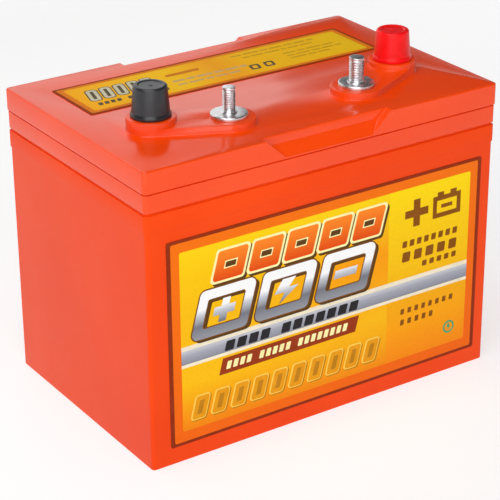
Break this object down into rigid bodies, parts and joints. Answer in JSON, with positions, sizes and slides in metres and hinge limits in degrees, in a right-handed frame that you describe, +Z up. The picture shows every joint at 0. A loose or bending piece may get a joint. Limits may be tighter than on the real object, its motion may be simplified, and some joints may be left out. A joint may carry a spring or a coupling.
{
  "type": "deep cycle battery",
  "caption": "Sealed deep cycle battery in an orange case, with a tapered post and a threaded stud on each side, push-on post caps, labels, and plates, mats and straps inside.",
  "frame": {"origin": "centre of the base, on the surface that the battery stands on", "axes": "+X along the case towards the positive terminal, +Y from the front label towards the back, +Z up"},
  "size_m": [0.26, 0.17, 0.2236],
  "materials": {
    "case_plastic": "gloss",
    "label": "gloss print",
    "valve_rubber": "matte",
    "black_cap": "satin",
    "red_cap": "satin",
    "link_brass": "satin",
    "stud_steel": "bright plated",
    "lead": "dull cast",
    "positive_plate": "matte paste",
    "negative_plate": "matte paste",
    "glass_mat": "matte fibre"
  },
  "bodies": {
    "battery": {"container": "case_plastic", "lid": "case_plastic", "valve_cover": "case_plastic", "front_label": "label", "top_label": "label", "relief_valve_1": "valve_rubber", "relief_valve_2": "valve_rubber", "relief_valve_3": "valve_rubber", "relief_valve_4": "valve_rubber", "relief_valve_5": "valve_rubber", "relief_valve_6": "valve_rubber", "negative_post": "lead", "negative_pillar": "lead", "negative_link": "link_brass", "negative_stud": "stud_steel", "positive_post": "lead", "positive_pillar": "lead", "positive_link": "link_brass", "positive_stud": "stud_steel", "positive_plates_1": "positive_plate", "positive_plates_2": "positive_plate", "positive_plates_3": "positive_plate", "positive_plates_4": "positive_plate", "positive_plates_5": "positive_plate", "positive_plates_6": "positive_plate", "negative_plates_1": "negative_plate", "negative_plates_2": "negative_plate", "negative_plates_3": "negative_plate", "negative_plates_4": "negative_plate", "negative_plates_5": "negative_plate", "negative_plates_6": "negative_plate", "separators_1": "glass_mat", "separators_2": "glass_mat", "separators_3": "glass_mat", "separators_4": "glass_mat", "separators_5": "glass_mat", "separators_6": "glass_mat", "positive_strap_1": "lead", "positive_strap_2": "lead", "positive_strap_3": "lead", "positive_strap_4": "lead", "positive_strap_5": "lead", "positive_strap_6": "lead", "negative_strap_1": "lead", "negative_strap_2": "lead", "negative_strap_3": "lead", "negative_strap_4": "lead", "negative_strap_5": "lead", "negative_strap_6": "lead", "intercell_welds": "lead"},
    "negative_cap": {"negative_cap": "black_cap"},
    "positive_cap": {"positive_cap": "red_cap"}
  },
  "joints": [
    {"name": "negative_cap_lift", "type": "slide", "parent": "battery", "child": "negative_cap", "axis": [0, 0, 1], "range_m": [0, 0.03]},
    {"name": "positive_cap_lift", "type": "slide", "parent": "battery", "child": "positive_cap", "axis": [0, 0, 1], "range_m": [0, 0.03]}
  ]
}
